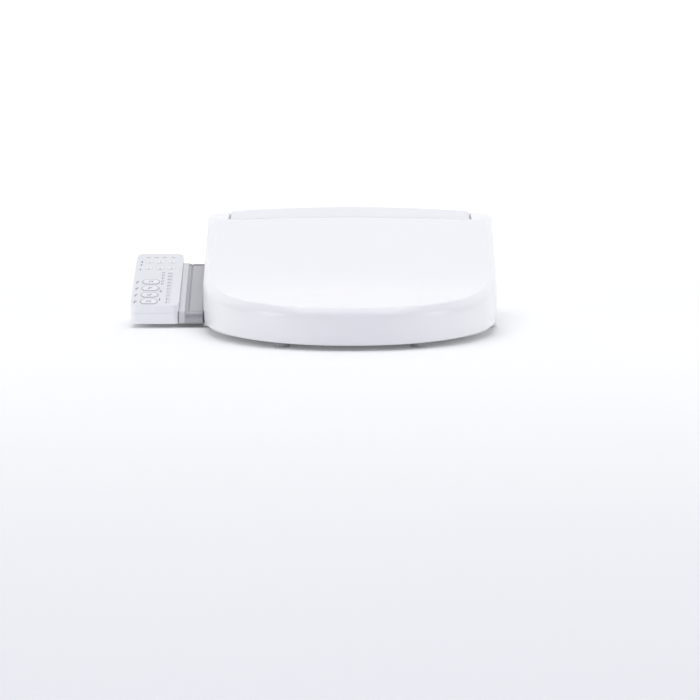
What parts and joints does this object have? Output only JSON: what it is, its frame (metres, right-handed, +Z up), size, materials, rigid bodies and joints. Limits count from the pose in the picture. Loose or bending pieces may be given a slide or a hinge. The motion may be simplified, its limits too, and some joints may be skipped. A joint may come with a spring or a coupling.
{
  "type": "electric bidet seat",
  "caption": "Electric bidet seat for an elongated bowl: heated ring and lid on a washing unit, with a washing wand, dryer and sloping side control panel",
  "frame": {"origin": "midway between the two deck bolt holes, on the deck plane that the mounting plate rests on", "axes": "+Z up; -Y is the front of the seat; +X is to the right of a viewer who stands in front and looks at it"},
  "size_m": [0.4918, 0.534, 0.1495],
  "materials": {
    "white_gloss": "smooth high-gloss white moulding",
    "seat_gloss": "smooth gloss white moulding",
    "unit_gloss": "smooth gloss white moulding, faint blue cast",
    "panel_grey": "satin light grey moulding",
    "key_white": "satin white key caps",
    "key_small": "satin pale grey key caps",
    "lens": "smoked translucent strip",
    "mat_rubber": "translucent silicone",
    "buffer_rubber": "matte grey rubber",
    "hose_rubber": "milky silicone hose",
    "plate_plastic": "glass-filled dark grey moulding",
    "inner_plastic": "plain natural moulding",
    "valve_plastic": "black glass-filled moulding",
    "board_green": "green laminate with parts",
    "motor_steel": "plated steel can",
    "steel": "bright steel",
    "foil": "aluminium foil with heater wire",
    "wand_white": "smooth white moulding"
  },
  "bodies": {
    "plate": {"mounting_plate": "plate_plastic", "bolt_adapters": "valve_plastic"},
    "unit": {"base_tray": "unit_gloss", "case_screws": "steel", "cord_gland": "valve_plastic", "deodoriser_housing": "inner_plastic", "deodoriser_motor": "motor_steel", "diverter_motor": "motor_steel", "diverter_valve": "valve_plastic", "dryer_duct": "inner_plastic", "dryer_housing": "inner_plastic", "dryer_motor": "motor_steel", "flap_pin": "steel", "front_fascia": "unit_gloss", "hinge_pins": "steel", "indicator_lens": "lens", "inlet_valve": "valve_plastic", "key_mat": "mat_rubber", "lid_damper": "inner_plastic", "main_board": "board_green", "panel_arm": "unit_gloss", "panel_board": "board_green", "panel_lower_case": "white_gloss", "panel_upper_case": "panel_grey", "power_supply": "board_green", "seat_damper": "inner_plastic", "tank_heater": "steel", "top_cover": "unit_gloss", "unit_feet": "buffer_rubber", "valve_solenoid": "motor_steel", "wand_cradle": "inner_plastic", "wand_hose": "hose_rubber", "wand_motor": "motor_steel", "water_hoses": "hose_rubber", "water_tank": "inner_plastic"},
    "seat": {"seat_top_shell": "seat_gloss", "seat_bottom_shell": "seat_gloss", "seat_heater": "foil", "seat_buffers": "buffer_rubber"},
    "lid": {"lid_shell": "white_gloss", "lid_buffers": "buffer_rubber"},
    "wand": {"wand_barrel": "wand_white", "wand_tip": "wand_white"},
    "pinion": {"wand_pinion": "inner_plastic"},
    "flap": {"dryer_flap": "unit_gloss"},
    "button": {"release_button": "unit_gloss"},
    "cartridge": {"deodoriser_cartridge": "inner_plastic"},
    "drain": {"drain_plug": "unit_gloss"},
    "dryer_wheel": {"dryer_impeller": "inner_plastic"},
    "deodoriser_wheel": {"deodoriser_impeller": "inner_plastic"},
    "wash_key_1_body": {"wash_key_1": "key_white"},
    "wash_key_2_body": {"wash_key_2": "key_white"},
    "wash_key_3_body": {"wash_key_3": "key_white"},
    "wash_key_4_body": {"wash_key_4": "key_white"},
    "small_key_1_body": {"small_key_1": "key_small"},
    "small_key_2_body": {"small_key_2": "key_small"},
    "small_key_3_body": {"small_key_3": "key_small"},
    "small_key_4_body": {"small_key_4": "key_small"},
    "small_key_5_body": {"small_key_5": "key_small"},
    "small_key_6_body": {"small_key_6": "key_small"}
  },
  "joints": [
    {"name": "unit_slide", "type": "slide", "parent": "plate", "child": "unit", "axis": [0, -1, 0], "range_m": [0, 0.05]},
    {"name": "seat_hinge", "type": "hinge", "parent": "unit", "child": "seat", "pos_m": [0, 0.002, 0.128], "axis": [-1, 0, 0], "range_deg": [0, 110]},
    {"name": "lid_hinge", "type": "hinge", "parent": "seat", "child": "lid", "pos_m": [0, 0.002, 0.128], "axis": [1, 0, 0], "range_deg": [-110, 0]},
    {"name": "wand_slide", "type": "slide", "parent": "unit", "child": "wand", "axis": [0, -0.866, -0.5], "range_m": [0, 0.1], "deforming": ["wand_hose"]},
    {"name": "pinion_spin", "type": "hinge", "parent": "unit", "child": "pinion", "pos_m": [0.0035, -0.1009, 0.05493], "axis": [1, 0, 0], "range_deg": [-820, 0]},
    {"name": "flap_swing", "type": "hinge", "parent": "unit", "child": "flap", "pos_m": [-0.06, -0.1422, 0.0315], "axis": [-1, 0, 0], "range_deg": [0, 60], "stiffness_Nm_per_rad": 0.002, "springref_deg": -17.19},
    {"name": "button_press", "type": "slide", "parent": "unit", "child": "button", "axis": [-1, 0, 0], "range_m": [0, 0.004], "stiffness_N_per_m": 800, "springref_m": -0.001},
    {"name": "cartridge_pull", "type": "slide", "parent": "unit", "child": "cartridge", "axis": [1, 0, 0], "range_m": [0, 0.045]},
    {"name": "drain_turn", "type": "hinge", "parent": "unit", "child": "drain", "pos_m": [0.19, -0.032, 0.017], "axis": [1, 0, 0], "range_deg": [0, 90]},
    {"name": "dryer_wheel_spin", "type": "hinge", "parent": "unit", "child": "dryer_wheel", "pos_m": [-0.0775, -0.012, 0.064], "axis": [1, 0, 0], "continuous": true},
    {"name": "deodoriser_wheel_spin", "type": "hinge", "parent": "unit", "child": "deodoriser_wheel", "pos_m": [0.128, -0.148, 0.0185], "axis": [0, 0, 1], "continuous": true},
    {"name": "wash_key_1_press", "type": "slide", "parent": "unit", "child": "wash_key_1_body", "axis": [0, 0.4502, -0.8929], "range_m": [0, 0.0008], "stiffness_N_per_m": 1200, "springref_m": -0.0005},
    {"name": "wash_key_2_press", "type": "slide", "parent": "unit", "child": "wash_key_2_body", "axis": [0, 0.4502, -0.8929], "range_m": [0, 0.0008], "stiffness_N_per_m": 1200, "springref_m": -0.0005},
    {"name": "wash_key_3_press", "type": "slide", "parent": "unit", "child": "wash_key_3_body", "axis": [0, 0.4502, -0.8929], "range_m": [0, 0.0008], "stiffness_N_per_m": 1200, "springref_m": -0.0005},
    {"name": "wash_key_4_press", "type": "slide", "parent": "unit", "child": "wash_key_4_body", "axis": [0, 0.4502, -0.8929], "range_m": [0, 0.0008], "stiffness_N_per_m": 1200, "springref_m": -0.0005},
    {"name": "small_key_1_press", "type": "slide", "parent": "unit", "child": "small_key_1_body", "axis": [0, 0.4502, -0.8929], "range_m": [0, 0.0008], "stiffness_N_per_m": 900, "springref_m": -0.0005},
    {"name": "small_key_2_press", "type": "slide", "parent": "unit", "child": "small_key_2_body", "axis": [0, 0.4502, -0.8929], "range_m": [0, 0.0008], "stiffness_N_per_m": 900, "springref_m": -0.0005},
    {"name": "small_key_3_press", "type": "slide", "parent": "unit", "child": "small_key_3_body", "axis": [0, 0.4502, -0.8929], "range_m": [0, 0.0008], "stiffness_N_per_m": 900, "springref_m": -0.0005},
    {"name": "small_key_4_press", "type": "slide", "parent": "unit", "child": "small_key_4_body", "axis": [0, 0.4502, -0.8929], "range_m": [0, 0.0008], "stiffness_N_per_m": 900, "springref_m": -0.0005},
    {"name": "small_key_5_press", "type": "slide", "parent": "unit", "child": "small_key_5_body", "axis": [0, 0.4502, -0.8929], "range_m": [0, 0.0008], "stiffness_N_per_m": 900, "springref_m": -0.0005},
    {"name": "small_key_6_press", "type": "slide", "parent": "unit", "child": "small_key_6_body", "axis": [0, 0.4502, -0.8929], "range_m": [0, 0.0008], "stiffness_N_per_m": 900, "springref_m": -0.0005}
  ],
  "couplings": [
    {"joint": "pinion_spin", "follows": "wand_slide", "rad_per_m": -142.86}
  ]
}
